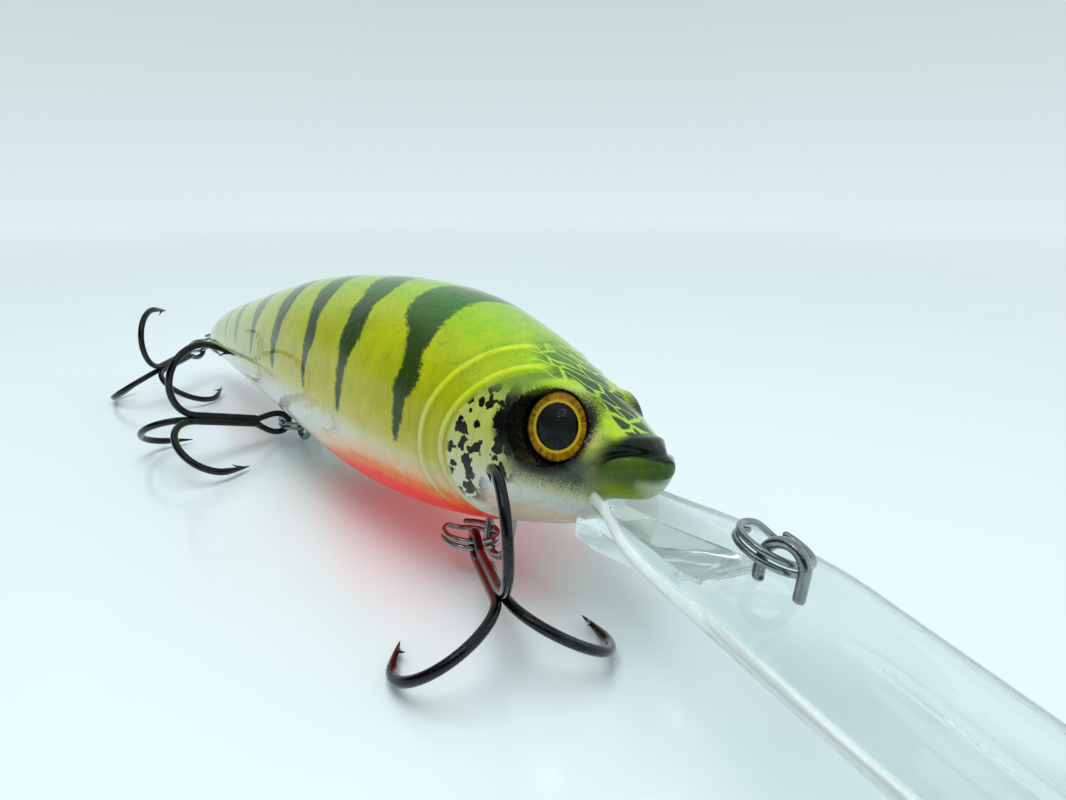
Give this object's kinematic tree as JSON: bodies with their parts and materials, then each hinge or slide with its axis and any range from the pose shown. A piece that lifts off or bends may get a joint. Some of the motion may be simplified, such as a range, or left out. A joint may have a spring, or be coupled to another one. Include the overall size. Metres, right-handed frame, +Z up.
{
  "type": "crankbait lure",
  "caption": "Deep-diving fishing lure: hollow painted fish-shaped body, long clear diving lip, treble hooks and a line ring on split rings, with loose balls inside.",
  "frame": {"origin": "middle of the footprint of the lying lure, on the table", "axes": "+X from the tail to the tip of the lip, +Y to the lure's left, +Z up; the lure lies leaning 12 degrees to +Y"},
  "size_m": [0.2034, 0.0428, 0.033],
  "materials": {
    "painted_shell": "hand-painted lime green over white, dark bars, orange belly, thick clear gloss coat",
    "clear_lip": "clear polished plastic",
    "steel_wire": "bright drawn stainless wire",
    "split_ring_steel": "dark bright-rolled stainless",
    "hook_black": "glossy black nickel",
    "eye_iris": "gold foil iris round a black pupil",
    "eye_dome": "clear glossy resin",
    "tube_plastic": "natural translucent plastic",
    "ball_steel": "polished ball",
    "ballast_lead": "dull cast lead",
    "buffer_rubber": "soft matt rubber",
    "magnet_plating": "nickel plating"
  },
  "bodies": {
    "lure_body": {"body_shell_left": "painted_shell", "left_eye_iris": "eye_iris", "left_eye_dome": "eye_dome", "body_shell_right": "painted_shell", "right_eye_iris": "eye_iris", "right_eye_dome": "eye_dome", "diving_lip": "clear_lip", "line_tie_loop": "steel_wire", "front_hanger": "steel_wire", "mid_hanger": "steel_wire", "tail_hanger": "steel_wire", "transfer_tube": "tube_plastic", "transfer_rear_buffer": "buffer_rubber", "transfer_front_magnet": "magnet_plating", "rattle_tube": "tube_plastic", "belly_ballast": "ballast_lead"},
    "front_ring": {"front_split_ring": "split_ring_steel"},
    "front_hook": {"front_treble_hook": "hook_black"},
    "mid_ring": {"mid_split_ring": "split_ring_steel"},
    "mid_hook": {"mid_treble_hook": "hook_black"},
    "tail_ring": {"tail_split_ring": "split_ring_steel"},
    "tail_hook": {"tail_treble_hook": "hook_black"},
    "line_ring": {"line_tie_ring": "split_ring_steel"},
    "transfer_balls": {"transfer_ball_1": "ball_steel", "transfer_ball_2": "ball_steel", "transfer_ball_3": "ball_steel"},
    "rattle_balls": {"rattle_ball_1": "ball_steel", "rattle_ball_2": "ball_steel"}
  },
  "joints": [
    {"name": "front_ring_swivel", "type": "hinge", "parent": "lure_body", "child": "front_ring", "pos_m": [0.01554, 0.00474, 0.00373], "axis": [0, 0.2079, 0.9781], "range_deg": [-50, 0]},
    {"name": "mid_ring_swivel", "type": "hinge", "parent": "lure_body", "child": "mid_ring", "pos_m": [-0.04306, 0.00453, 0.00275], "axis": [0, 0.2079, 0.9781], "range_deg": [-26, 16]},
    {"name": "tail_ring_swing", "type": "hinge", "parent": "lure_body", "child": "tail_ring", "pos_m": [-0.09516, 0.00586, 0.00901], "axis": [0, 0.9781, -0.2079], "range_deg": [-10, 60]},
    {"name": "line_ring_swing", "type": "hinge", "parent": "lure_body", "child": "line_ring", "pos_m": [0.05414, 0.00718, 0.01524], "axis": [0, 0.9781, -0.2079], "range_deg": [0, 150]},
    {"name": "front_hook_swing", "type": "hinge", "parent": "front_ring", "child": "front_hook", "pos_m": [0.01815, 0.00093, 0.00432], "axis": [0.4614, 0.8786, -0.1235], "range_deg": [-3, 110]},
    {"name": "mid_hook_swing", "type": "hinge", "parent": "mid_ring", "child": "mid_hook", "pos_m": [-0.04496, 0.00153, 0.00292], "axis": [0.983, -0.1823, -0.0221], "range_deg": [-1, 110]},
    {"name": "tail_hook_swing", "type": "hinge", "parent": "tail_ring", "child": "tail_hook", "pos_m": [-0.09526, 0.00223, 0.00772], "axis": [0.5887, 0.7596, 0.2766], "range_deg": [-60, 110]},
    {"name": "transfer_ball_slide", "type": "slide", "parent": "lure_body", "child": "transfer_balls", "axis": [0.9986, 0.0109, 0.0512], "range_m": [0, 0.0338]},
    {"name": "rattle_ball_slide", "type": "slide", "parent": "lure_body", "child": "rattle_balls", "axis": [0, -0.9781, 0.2079], "range_m": [0, 0.0088]}
  ]
}
